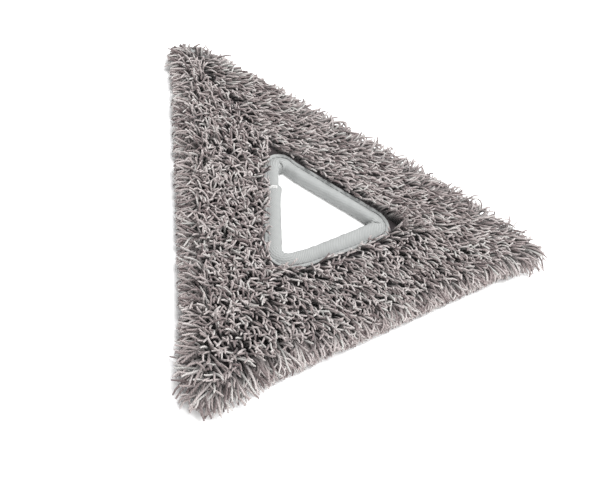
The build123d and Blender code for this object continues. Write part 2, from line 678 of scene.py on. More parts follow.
@dataclass(frozen=True)
class TwillFinish:
    """Woven tape with fine slanting ribs, crossed by a finer weft, with painted shade in the hollows between
    them.
    """

    colour: Colour = (0.29, 0.298, 0.295)
    rib: float = 1.5 * MM
    weft: float = 0.9 * MM

    def material(self) -> bpy.types.Material:
        """Builds the finish.

        Returns:
            The material.
        """
        paint = Paint("twill_tape", roughness=0.78, sheen=0.2, sheen_roughness=0.4)
        along, across = paint.sheet()
        rib = paint.wave(paint.math("ADD", along, across), self.rib)
        weft = paint.wave(paint.math("SUBTRACT", along, paint.math("MULTIPLY", across, 0.6)), self.weft)
        relief = paint.math("MULTIPLY_ADD", weft, 0.5, rib)
        rubbed = paint.noise(paint.place(), 9 * MM, 4.0)
        fibre = paint.noise(paint.place(), 0.4 * MM, 3.0)
        worn = paint.math("MULTIPLY", paint.spread(rubbed, 0.88, 1.1), paint.spread(fibre, 0.9, 1.08))
        # Painted shade: the colour darkens in the hollows between ribs and weft, following the relief. The
        # worn patches are random tone.
        shade = paint.math("MULTIPLY", paint.spread(relief, 0.82, 1.07), worn)
        base = paint.ramp(rubbed, [(0.3, self.colour), (0.7, tuple(0.97 * c for c in self.colour))])
        return paint.finish(paint.times(base, shade), relief, 0.12 * MM)


@dataclass(frozen=True)
class KnitFinish:
    """Fine knitted cloth: wales along Y, courses along X, with painted shade in the hollows of the knit."""

    name: str
    colour: Colour
    wale: float = 1.3 * MM
    course: float = 1.0 * MM
    depth: float = 0.25 * MM

    def material(self) -> bpy.types.Material:
        """Builds the finish.

        Returns:
            The material.
        """
        paint = Paint(self.name, roughness=0.92, sheen=0.1)
        parts = paint.node("ShaderNodeSeparateXYZ", {0: paint.place()})
        wale = paint.wave(parts.outputs[0], self.wale)
        slanted = paint.math("MULTIPLY_ADD", wale, 0.35 * self.course, parts.outputs[1])
        course = paint.wave(slanted, self.course)
        relief = paint.math("MULTIPLY", paint.math("ADD", wale, 0.4), course)
        patch = paint.noise(paint.place(), 14 * MM, 3.0)
        # Painted shade: the colour darkens in the hollows between wales and courses, following the relief. The
        # patches are random tone.
        shade = paint.math("MULTIPLY", paint.spread(relief, 0.7, 1.15), paint.spread(patch, 0.85, 1.15))
        base = paint.ramp(patch, [(0.0, self.colour), (1.0, tuple(1.12 * c for c in self.colour))])
        return paint.finish(paint.times(base, shade), relief, self.depth)


@dataclass(frozen=True)
class FuzzFinish:
    """Brushed or needled fibre: loops and felt."""

    name: str
    colour: Colour
    fibre: float = 0.5 * MM
    patch: float = 11 * MM
    depth: float = 0.3 * MM

    def material(self) -> bpy.types.Material:
        """Builds the finish.

        Returns:
            The material.
        """
        paint = Paint(self.name, roughness=0.95, sheen=0.35, sheen_roughness=0.7)
        fibre = paint.noise(paint.place(), self.fibre, 4.0)
        cloud = paint.noise(paint.place(), self.patch, 3.0)
        shade = paint.math("MULTIPLY", paint.spread(fibre, 0.7, 1.25), paint.spread(cloud, 0.9, 1.1))
        base = paint.ramp(cloud, [(0.2, self.colour), (0.8, tuple(1.06 * c for c in self.colour))])
        return paint.finish(paint.times(base, shade), fibre, self.depth)


@dataclass(frozen=True)
class ThreadFinish:
    """Sewing thread: two plies wound round each other, with painted shade in the grooves between them."""

    name: str
    colour: Colour

    def material(self) -> bpy.types.Material:
        """Builds the finish.

        Returns:
            The material.
        """
        paint = Paint(self.name, roughness=0.55, sheen=0.15)
        turns, twists = paint.sheet()
        wound = paint.wave(paint.math("ADD", paint.math("MULTIPLY", turns, 2.0), twists), 1.0)
        patch = paint.noise(paint.place(), 6 * MM)
        base = paint.ramp(patch, [(0.2, self.colour), (0.8, tuple(0.9 * c for c in self.colour))])
        # Painted shade: the colour dips in the grooves between the plies, following the winding wave.
        return paint.finish(paint.times(base, paint.spread(wound, 0.72, 1.0)), wound, 0.06 * MM)


@dataclass
class Finishes:
    """Every finish of the pad, made once."""

    yarn: bpy.types.Material = field(default_factory=lambda: YarnFinish().material())
    tape: bpy.types.Material = field(default_factory=lambda: TwillFinish().material())
    # Near-black ground cloth: partly the cloth's own dark colour, partly painted shade for the deep gaps
    # between the strands.
    ground: bpy.types.Material = field(
        default_factory=lambda: KnitFinish("ground_knit", (0.035, 0.028, 0.03)).material()
    )
    lining: bpy.types.Material = field(
        default_factory=lambda: KnitFinish("lining_tricot", (0.34, 0.34, 0.35), wale=1.6 * MM).material()
    )
    loops: bpy.types.Material = field(
        default_factory=lambda: FuzzFinish("brushed_loop", (0.46, 0.46, 0.47)).material()
    )
    felt: bpy.types.Material = field(
        default_factory=lambda: FuzzFinish("needled_felt", (0.72, 0.70, 0.66), fibre=0.9 * MM).material()
    )
    grey_thread: bpy.types.Material = field(
        default_factory=lambda: ThreadFinish("grey_thread", (0.24, 0.25, 0.25)).material()
    )
    white_thread: bpy.types.Material = field(
        default_factory=lambda: ThreadFinish("white_thread", (0.86, 0.86, 0.85)).material()
    )


# ------------------------------------------------------------------------------------------------------ datum


@dataclass(frozen=True)
class Datum:
    """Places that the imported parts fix, and how the hand of the sewer departs from them.

    The seams are given by their distance from the sewn lips.  pressed is the share by which the binding
    flattens the layers, over the distances from their rims in pressed_over.  left_turn is how far the
    opening's left side is out of true; it takes hold over the depths in turned_from and fades over those in
    turned_to.
    """

    opening_tape_face: float = 12 * MM
    edge_tape_face: float = 6.5 * MM
    clear_corner: float = 2.5 * MM
    cloth_corner: float = 5 * MM
    opening_seam: float = 2.8 * MM
    edge_seam: float = 2.2 * MM
    pressed: float = 0.13
    pressed_over: tuple[float, float] = (9 * MM, 17 * MM)
    left_turn: float = math.radians(4.6)
    turned_from: tuple[float, float] = (6 * MM, 20 * MM)
    turned_to: tuple[float, float] = (42 * MM, 72 * MM)

    @cached_property
    def clear(self) -> Rounded:
        """The clear opening."""
        return Rounded(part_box("opening_tape")[1][1] - self.opening_tape_face, self.clear_corner)

    @cached_property
    def lip(self) -> Rounded:
        """The sewn lip of the opening's tape."""
        return self.clear.grown(self.opening_tape_face)

    @cached_property
    def cloth(self) -> Rounded:
        """The bound outer edge."""
        return Rounded(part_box("edge_tape")[1][1], self.cloth_corner)

    @cached_property
    def edge_lip(self) -> Rounded:
        """The sewn lip of the edge tape."""
        return self.cloth.grown(-self.edge_tape_face, self.clear_corner)

    @cached_property
    def layer_rims(self) -> tuple[Rounded, Rounded]:
        """The cut edges of the layers, inside both tapes."""
        inset = self.cloth.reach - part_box("pile_ground_cloth")[1][1]
        return self.clear.grown(inset), self.cloth.grown(-inset)

    @cached_property
    def ground_top(self) -> float:
        """Height of the ground cloth's face."""
        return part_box("pile_ground_cloth")[1][2]

    def press(self, height: float, inset: float) -> float:
        """The height of a point of the layers, which the binding presses flatter beside the opening."""
        return height * (1 - self.pressed * (1 - smooth(inset, *self.pressed_over)))

    def hand_cut(self, spot: Vector) -> Vector:
        """Where a point near the opening really is: the left side was cut and bound a little out of true.

        Args:
            spot: where the point would be on a true triangle.

        Returns:
            Where it is.
        """
        depth, along = Side.LEFT.outward.dot(spot), Side.LEFT.along.dot(spot)
        share = smooth(depth, *self.turned_from) * (1 - smooth(depth, *self.turned_to))
        return spot + Side.LEFT.outward * (math.tan(self.left_turn) * along * share)


# ------------------------------------------------------------------------------------------------------- pile


@dataclass(frozen=True)
class Lay:
    """How the strands of one side lie.

    Bearings are in degrees anticlockwise from +X, leans in radians from upright; hang is the share of the
    fringe's droop that this side has.
    """

    inner: float
    outer: float
    fan: float
    swing: float
    stray: float
    lean_root: float
    lean_tip: float
    hang: float


@dataclass(frozen=True)
class Zone:
    """A band of the pile: which strands grow there and how.

    The strands are rooted between the outlines inner and outer.  droop is how far they turn straight away
    from the pad, flat is added to their lean at the root and hang to that at the tip, both in radians, and
    uneven is the range of their lengths, as shares of length.
    """

    word: str
    inner: Rounded
    outer: Rounded
    spacing: float
    length: float
    droop: float
    flat: float
    hang: float
    uneven: tuple[float, float]


@dataclass
class StringPile:
    """Thousands of separate twisted strands, grown on the ground cloth by a Geometry Nodes tree.

    trim says how far past the bound edge the shears met each side, at its start and end anticlockwise, and
    tip_corner how round they left each tip.  Round a tip, within tip_core of its corner, the fringe fans out.
    Over the distances from a tip in tip_pull, its strands are combed towards it and lie calmer.  Beside the
    opening they are more tousled, over the first lip_band of the way out, and at its right-hand tip they
    stand more upright.  Strands lean together in locks of about lock_size; wander is how far the locks swing,
    and the unrest values are how far single strands stray, in radians.
    """

    datum: Datum
    finishes: Finishes
    diameter: float = 1.38 * MM
    sides: int = 5
    steps: int = 6
    field_length: float = 11.5 * MM
    fringe_length: float = 14.5 * MM
    field_spacing: float = 1.88 * MM
    fringe_spacing: float = 1.2 * MM
    stretch: tuple[float, float] = (0.8, 1.55)
    trim: dict[Side, tuple[float, float]] = field(
        default_factory=lambda: {
            Side.REAR: (18 * MM, 3.5 * MM),
            Side.LEFT: (7 * MM, 6 * MM),
            Side.RIGHT: (6.5 * MM, 10 * MM),
        }
    )
    tip_corner: tuple[float, float, float] = (9 * MM, 3 * MM, 18 * MM)
    tip_core: float = 26 * MM
    tip_pull: tuple[float, float] = (14.7 * MM, 67.2 * MM)
    tip_comb: float = 0.3
    tip_calm: float = 0.25
    stand_root: float = 0.7
    stand_tip: float = 0.45
    lip_band: float = 0.16
    row_band: float = 5 * MM
    lip_gap: float = 0.4 * MM
    brim_gap: float = 0.3 * MM
    edge_gap: float = 1.3 * MM
    over_lip: float = 1.3 * MM
    give: float = 0.92
    lock_size: float = 13 * MM
    wander: float = 4.4
    lip_unrest: float = 1.1
    root_unrest: tuple[float, float] = (-0.28, 0.32)
    tip_unrest: float = 0.4
    patch_unrest: float = 0.7
    patch_size: float = 1 / 90
    patch_shift: tuple[float, float, float] = (1.7, 3.1, 0.4)
    droop_calm: float = 0.6
    least_lean: float = 0.05
    hang_share: tuple[float, float] = (0.45, 1.2)
    least_bend: float = 0.25
    curl: float = 0.6
    waviness: float = 0.2
    wobbles: float = 2.2
    strand_tint: float = 0.75
    lock_tint: float = 0.3
    taper: float = 0.3
    twist_pitch: float = 1.9 * MM
    blend: float = 5 * MM
    densest: float = 1.5e6
    bed_columns: int = 60
    bed_swing: float = 59.8
    lays: dict[Side, Lay] = field(
        default_factory=lambda: {
            Side.REAR: Lay(0, 26, fan=0, swing=14, stray=22, lean_root=0.60, lean_tip=1.60, hang=0.5),
            Side.LEFT: Lay(222, 245, fan=12, swing=50, stray=150, lean_root=0.30, lean_tip=1.50, hang=1.0),
            Side.RIGHT: Lay(318, 322, fan=26, swing=30, stray=44, lean_root=0.38, lean_tip=1.50, hang=1.0),
        }
    )

    def zones(self) -> list[Zone]:
        """The field of the pile and the rows at its edge that hang over as a fringe.

        Returns:
            The two zones.
        """
        datum = self.datum
        pile = Zone(
            "pile",
            inner=datum.lip.grown(self.lip_gap),
            outer=datum.edge_lip.grown(-self.brim_gap, datum.clear_corner),
            spacing=self.field_spacing,
            length=self.field_length,
            droop=0.0,
            flat=0.0,
            hang=0.0,
            uneven=(0.82, 1.12),
        )
        fringe = Zone(
            "fringe",
            inner=datum.edge_lip.grown(-self.row_band, datum.clear_corner),
            outer=datum.cloth.grown(-self.edge_gap),
            spacing=self.fringe_spacing,
            length=self.fringe_length,
            droop=0.6,
            flat=0.65,
            hang=0.95,
            uneven=(0.88, 1.05),
        )
        return [pile, fringe]

    def lay_at(self, spot: Vector) -> tuple[Vector, float, float, float, float]:
        """How a strand rooted at a spot is combed.

        Args:
            spot: the root, in the plane.

        Returns:
            The combed direction, the locks' swing and the strand's stray in radians, and the leans at root
            and tip.
        """
        clear, brim = self.datum.lip.reach, self.datum.cloth.reach
        depth = {side: side.outward.dot(spot) for side in Side}
        deepest = max(depth.values())
        share = min(max((deepest - clear) / (brim - clear), 0.0), 1.0)
        weight = {side: math.exp((depth[side] - deepest) / self.blend) for side in Side}
        total = sum(weight.values())
        comb = Vector((0, 0, 0))
        swing = stray = root = tip = 0.0
        for side, lay in self.lays.items():
            part = weight[side] / total
            sideways = side.along.dot(spot) / (math.sqrt(3) * brim)
            bearing = lay.inner + (lay.outer - lay.inner) * share + lay.fan * sideways
            comb += heading(bearing) * part
            swing += math.radians(lay.swing) * part
            stray += math.radians(lay.stray) * part
            root += lay.lean_root * part
            tip += lay.lean_tip * part
        toward = max((tip_heading(index) for index in range(3)), key=lambda way: way.dot(spot))
        near_tip = 1 - smooth((toward * 2 * brim - spot).length, *self.tip_pull)
        beside = 1 - smooth(share, 0.0, self.lip_band)
        stood = beside * smooth(spot.normalized().dot(tip_heading(RIGHT_TIP)), 0.8, 1.0)
        root, tip = root * (1 - self.stand_root * stood), tip * (1 - self.stand_tip * stood)
        comb = comb.normalized() + toward * (self.tip_comb * near_tip)
        calm = 1 - self.tip_calm * near_tip
        return comb.normalized(), swing * calm, stray * calm + self.lip_unrest * beside, root, tip

    def bed(self, name: str, side: Side, zone: Zone) -> bpy.types.Object:
        """The patch of cloth that a zone's strands grow on, with their lay as attributes.

        Args:
            name: the object's name.
            side: the side of the triangle.
            zone: the band.

        Returns:
            The patch.
        """
        rows = 4 + round((zone.outer.reach - zone.inner.reach) / (3 * MM))
        columns = self.bed_columns
        points: list[Vector] = []
        space: list[float] = []
        hem = self.datum.lip.reach - self.over_lip
        for row in range(rows + 1):
            for column in range(columns + 1):
                swing = math.radians(self.bed_swing * (2 * column / columns - 1))
                near, far = zone.inner.radius(swing), zone.outer.radius(swing)
                spot = heading(side.value + math.degrees(swing)) * (near + (far - near) * row / rows)
                space.append(side.outward.dot(spot) - hem)
                spot = self.datum.hand_cut(spot)
                points.append(Vector((spot.x, spot.y, self.datum.ground_top - 0.3 * MM)))
        wide = columns + 1
        faces = [
            (r * wide + c, (r + 1) * wide + c, (r + 1) * wide + c + 1, r * wide + c + 1)
            for r in range(rows)
            for c in range(columns)
        ]
        mesh = bpy.data.meshes.new(name)
        mesh.from_pydata([tuple(p) for p in points], [], faces)
        lays = [self.lay_at(Vector((p.x, p.y, 0))) for p in points]
        out = [self.away_at(Vector((p.x, p.y, 0))) for p in points]
        room = [self.room_at(Vector((p.x, p.y, 0))) for p in points]
        droop = zone.droop
        combs = [(lay[0] * (1 - droop) + away * droop).normalized() for lay, away in zip(lays, out)]
        self.write(mesh, "comb", "FLOAT_VECTOR", [value for comb in combs for value in comb])
        self.write(mesh, "away", "FLOAT_VECTOR", [value for away in out for value in away])
        self.write(mesh, "room", "FLOAT", room)
        self.write(mesh, "inward", "FLOAT_VECTOR", [value for _ in points for value in -side.outward])
        self.write(mesh, "space", "FLOAT", space)
        for place, word in enumerate(("swing", "stray", "lean_root", "lean_tip"), start=1):
            self.write(mesh, word, "FLOAT", [lay[place] for lay in lays])
        growth = [min(max(space / (0.86 * zone.length), self.stretch[0]), self.stretch[1]) for space in room]
        self.write(mesh, "growth", "FLOAT", growth if droop else [1.0] * len(growth))
        return new_object(name, mesh)

    def round_tip(self, spot: Vector) -> Optional[tuple[int, Vector]]:
        """The tip that strands fan out round at a spot, if any.

        Args:
            spot: the root, in the plane.

        Returns:
            The tip's number and the way to the spot from the middle of its fan, or None beside a straight
            run.
        """
        core = Rounded(self.datum.cloth.reach, self.tip_core)
        for index in range(3):
            off = spot - core.arc_centre(index)
            if off.dot(tip_heading(index)) > 0.5 * off.length:
                return index, off
        return None

    def away_at(self, spot: Vector) -> Vector:
        """The direction straight off the nearest edge or tip.

        Args:
            spot: the root, in the plane.

        Returns:
            The direction, of length 1.
        """
        tip = self.round_tip(spot)
        if tip:
            return tip[1].normalized()
        return max((side.outward for side in Side), key=lambda way: way.dot(spot))

    def room_at(self, spot: Vector) -> float:
        """How far a strand may reach from its root, straight away from the pad, before the shears met it.

        Args:
            spot: the root, in the plane.

        Returns:
            The distance in metres.
        """
        tip = self.round_tip(spot)
        if tip is None:
            side = max(Side, key=lambda side: side.outward.dot(spot))
            return self.datum.cloth.reach + self.shorn_at(side, spot) - side.outward.dot(spot)
        index, off = tip
        side = max(Side, key=lambda side: side.outward.dot(off))
        shorn = Rounded(self.tip_core + self.shorn_at(side, spot), self.tip_corner[index])
        return shorn.radius(math.radians(60) - tip_heading(index).angle(off)) - off.length

    def shorn_at(self, side: Side, spot: Vector) -> float:
        """How far past the bound edge the strands of a side were cut, which changes along the side.

        Args:
            side: the side.
            spot: a place beside it.

        Returns:
            The distance in metres.
        """
        start, end = self.trim[side]
        share = 0.5 + side.along.dot(spot) / (2 * math.sqrt(3) * self.datum.cloth.reach)
        return start + (end - start) * max(share, 0.0) ** 2

    @staticmethod
    def write(mesh: bpy.types.Mesh, name: str, kind: str, values: Sequence[float]) -> None:
        """Stores an attribute on a mesh's points."""
        layer = mesh.attributes.new(name, kind, "POINT")
        layer.data.foreach_set("vector" if kind == "FLOAT_VECTOR" else "value", values)

    def tree(self) -> Builder:
        """The tree that grows strands on a bed: roots, a curve on each, and round yarn along the curves.

        Returns:
            The tree.
        """
        b = Builder("strand_pile")
        numbers = ("Spacing", "Length", "Diameter", "Lock size", "Droop", "Flatness", "Floor")
        ask = {name: b.asks(name) for name in (*numbers, "Shortest", "Longest", "Hang")}
        ask["Seed"] = b.asks("Seed", "NodeSocketInt")
        material = b.asks("Material", "NodeSocketMaterial")

        roots = self.rooted(b, ask)
        line = b.node("GeometryNodeCurvePrimitiveLine", {"End": (0, 0, 0.01)}).outputs[0]
        line = b.node("GeometryNodeResampleCurve", {"Curve": line, "Count": self.steps + 1}).outputs[0]
        grown = b.node("GeometryNodeInstanceOnPoints", {"Points": roots, "Instance": line}).outputs[0]
        grown = b.node("GeometryNodeRealizeInstances", {"Geometry": grown}).outputs[0]

        share = b.node("GeometryNodeSplineParameter").outputs["Factor"]
        path = self.shorn(b, self.bent(b, share))
        parts = b.node("ShaderNodeSeparateXYZ", {0: b.vector("ADD", b.recall("root", "FLOAT_VECTOR"), path)})
        height = b.math("MAXIMUM", parts.outputs[2], ask["Floor"])
        spot = b.bundle(parts.outputs[0], parts.outputs[1], height)
        grown = b.node("GeometryNodeSetPosition", {"Geometry": grown, "Position": spot}).outputs[0]
        tapered = b.math("SUBTRACT", 1.0, b.math("MULTIPLY", b.math("POWER", share, 5.0), self.taper))
        mesh = b.tube(grown, ask["Diameter"], self.sides, tapered, self.twist_pitch)
        given = ("comb", "swing", "stray", "lean_root", "lean_tip", "growth")
        limits = ("away", "room", "inward", "space")
        drawn = ("first", "last", "tall", "curl", "phase", "root", "turns", "twists")
        b.close(b.forget(mesh, given + limits + drawn), material)
        return b

    def rooted(self, b: Builder, ask: dict[str, bpy.types.NodeSocket]) -> bpy.types.NodeSocket:
        """Roots spread over the bed, each with the shape of its own strand drawn and stored.

        Args:
            b: the tree.
            ask: the tree's inputs, by name.

        Returns:
            The points.
        """

        def seeded(step: int) -> bpy.types.NodeSocket:
            """A seed of its own for each random number."""
            return b.math("ADD", ask["Seed"], float(step))

        roots = b.node(
            "GeometryNodeDistributePointsOnFaces",
            {
                "Mesh": b.start.outputs[0],
                "Distance Min": ask["Spacing"],
                "Density Max": self.densest,
                "Seed": ask["Seed"],
            },
            distribute_method="POISSON",
        ).outputs["Points"]
        where = b.node("GeometryNodeInputPosition").outputs[0]
        drift = b.noise(where, b.math("DIVIDE", 1.0, ask["Lock size"]), 1.0).outputs[0]
        wander = b.math("MULTIPLY", b.math("SUBTRACT", drift, 0.5), self.wander)
        stray = b.math("MULTIPLY", b.chance(-1.0, 1.0, seeded(1)), b.recall("stray"))
        angle = b.math("MULTIPLY_ADD", wander, b.recall("swing"), stray)
        loose = b.math("SUBTRACT", 1.0, b.math("MULTIPLY", ask["Droop"], self.droop_calm))
        comb = b.turned(b.recall("comb", "FLOAT_VECTOR"), b.math("MULTIPLY", angle, loose))

        lift = b.noise(b.vector("ADD", where, self.patch_shift), 1 / self.patch_size).outputs[0]
        rise = b.math("MULTIPLY", b.math("SUBTRACT", lift, 0.5), self.patch_unrest)
        first = b.math("ADD", b.recall("lean_root"), b.chance(*self.root_unrest, seeded(2)))
        first = b.math("MAXIMUM", b.math("ADD", first, ask["Flatness"]), self.least_lean)
        last = b.math("ADD", b.recall("lean_tip"), rise)
        last = b.math("ADD", last, b.chance(-self.tip_unrest, self.tip_unrest, seeded(3)))
        last = b.math("MULTIPLY_ADD", ask["Hang"], b.chance(*self.hang_share, seeded(8)), last)
        last = b.math("MAXIMUM", last, b.math("ADD", first, self.least_bend))
        tall = b.math("MULTIPLY", ask["Length"], b.chance(ask["Shortest"], ask["Longest"], seeded(4)))
        tall = b.math("MULTIPLY", tall, b.recall("growth"))
        shade = b.math("MULTIPLY", drift, self.lock_tint)
        shade = b.math("MULTIPLY_ADD", b.chance(0.0, 1.0, seeded(5)), self.strand_tint, shade)
        curl = b.chance(-self.curl, self.curl, seeded(6))
        phase = b.chance(0.0, 50.0, seeded(7))
        numbers = {"first": first, "last": last, "tall": tall, "tint": shade, "curl": curl, "phase": phase}
        for name, value in numbers.items():
            roots = b.keep(roots, name, value)
        roots = b.keep(roots, "comb", comb, "FLOAT_VECTOR")
        return b.keep(roots, "root", where, "FLOAT_VECTOR")

    def bent(self, b: Builder, share: bpy.types.NodeSocket) -> bpy.types.NodeSocket:
        """The way from a strand's root to its point at a share of its length.

        The lean from upright goes evenly from root to tip, so the way out and the height are differences of
        its cosine and its sine.  The way out turns a little as it goes, and the whole strand wobbles.

        Args:
            b: the tree.
            share: the point's share of the strand's length.

        Returns:
            The way, as a vector.
        """
        first, last, tall = b.recall("first"), b.recall("last"), b.recall("tall")
        sweep = b.math("SUBTRACT", last, first)
        lean = b.math("MULTIPLY_ADD", sweep, share, first)
        scale = b.math("DIVIDE", tall, sweep)
        out = b.math("MULTIPLY", scale, b.math("SUBTRACT", b.math("COSINE", first), b.math("COSINE", lean)))
        up = b.math("MULTIPLY", scale, b.math("SUBTRACT", b.math("SINE", lean), b.math("SINE", first)))
        way = b.turned(b.recall("comb", "FLOAT_VECTOR"), b.math("MULTIPLY", b.recall("curl"), share))
        path = b.vector("ADD", b.vector("SCALE", way, scale=out), b.bundle(0.0, 0.0, up))
        phase = b.bundle(b.recall("phase"), b.math("MULTIPLY", share, self.wobbles), b.recall("phase"))
        wobble = b.vector("SUBTRACT", b.noise(phase, 1.0, 0.0).outputs[1], (0.5, 0.5, 0.5))
        wobble = b.vector("SCALE", wobble, scale=b.math("MULTIPLY", share, tall))
        return b.vector("ADD", path, b.vector("SCALE", wobble, scale=self.waviness))

    def shorn(self, b: Builder, path: bpy.types.NodeSocket) -> bpy.types.NodeSocket:
        """Holds a strand back where the shears met it, and where it would lie over the opening's tape.

        Args:
            b: the tree.
            path: the way from the strand's root to its point.

        Returns:
            The way, shortened.
        """
        for way, limit in (("away", "room"), ("inward", "space")):
            toward = b.recall(way, "FLOAT_VECTOR")
            dot = b.node("ShaderNodeVectorMath", {0: path, 1: toward}, operation="DOT_PRODUCT")
            past = b.math("MAXIMUM", b.math("SUBTRACT", dot.outputs["Value"], b.recall(limit)), 0.0)
            back = b.vector("SCALE", toward, scale=b.math("MULTIPLY", past, self.give))
            path = b.vector("SUBTRACT", path, back)
        return path

    def build(self) -> list[bpy.types.Object]:
        """Grows both zones on all three sides.

        Returns:
            The strands' pieces.
        """
        tree = self.tree()
        made: list[bpy.types.Object] = []
        for place, side in enumerate(Side):
            for order, zone in enumerate(self.zones()):
                piece = self.bed(f"{zone.word}_{side.label}_strands", side, zone)
                tree.run(
                    piece,
                    {
                        "Spacing": zone.spacing,
                        "Length": zone.length,
                        "Diameter": self.diameter,
                        "Lock size": self.lock_size,
                        "Shortest": zone.uneven[0],
                        "Longest": zone.uneven[1],
                        "Droop": zone.droop,
                        "Hang": zone.hang * self.lays[side].hang,
                        "Flatness": zone.flat,
                        "Floor": 0.8 * self.diameter,
                        "Seed": 11 + 10 * place + order,
                        "Material": self.finishes.yarn,
                    },
                )
                settle(piece, "pile_yarn", f"{zone.word}_{side.label}")
                made.append(piece)
        return made


# ------------------------------------------------------------------------------------------------------ tapes


@dataclass
class FoldedTape:
    """A tape folded over a cut edge, swept round a rounded triangle.

    The section is given as points (distance in from the fold, height) from the lower lip round the fold to
    the upper one; it gets the tape's thickness on its inner side.
    """

    name: str
    fold: Rounded
    outwards: float
    section: Sequence[tuple[float, float]]
    thickness: float = 0.75 * MM
    per_side: int = 56
    per_corner: int = 18
    least_corner: float = 0.4 * MM

    def shape(self, station: Station, spot: tuple[float, float], place: float) -> tuple[float, float]:
        """What the hand of the sewer does to a point of the section; the plain tape keeps it."""
        del station, place
        return spot

    def settled(self, spot: Vector) -> Vector:
        """Where a point of the tape ends up in the plane; the plain tape stays on its outline."""
        return spot

    def walls(self, spots: Sequence[tuple[float, float]]) -> list[tuple[float, float]]:
        """The closed section: the visible face, and the inner face behind it.

        Args:
            spots: the points of the visible face, in order.

        Returns:
            The points of the closed section.
        """
        inner: list[tuple[float, float]] = []
        for index, (x, z) in enumerate(spots):
            before, after = spots[max(index - 1, 0)], spots[min(index + 1, len(spots) - 1)]
            along = Vector((after[0] - before[0], after[1] - before[1])).normalized()
            inner.append((x + along.y * self.thickness, z - along.x * self.thickness))
        return [*spots, *reversed(inner)]

    def build(self) -> bpy.types.Object:
        """Sweeps the section round the triangle.

        Returns:
            The tape.
        """
        loops: list[list[Vector]] = []
        ring = stations(self.per_side, self.per_corner)
        middle = [self.fold.at(station) for station in ring]
        around = travelled(middle)
        for station, way in zip(ring, around):
            bent = [self.shape(station, spot, way) for spot in self.section]
            loop: list[Vector] = []
            for inset, height in self.walls(bent):
                line = self.fold.grown(self.outwards * inset, self.least_corner)
                spot = self.settled(line.at(station))
                loop.append(Vector((spot.x, spot.y, height)))
            loops.append(loop)
        flat = [Vector((x, 0, z)) for x, z in self.walls(list(self.section))]
        return softened(swept(self.name, loops, around, travelled(flat)))


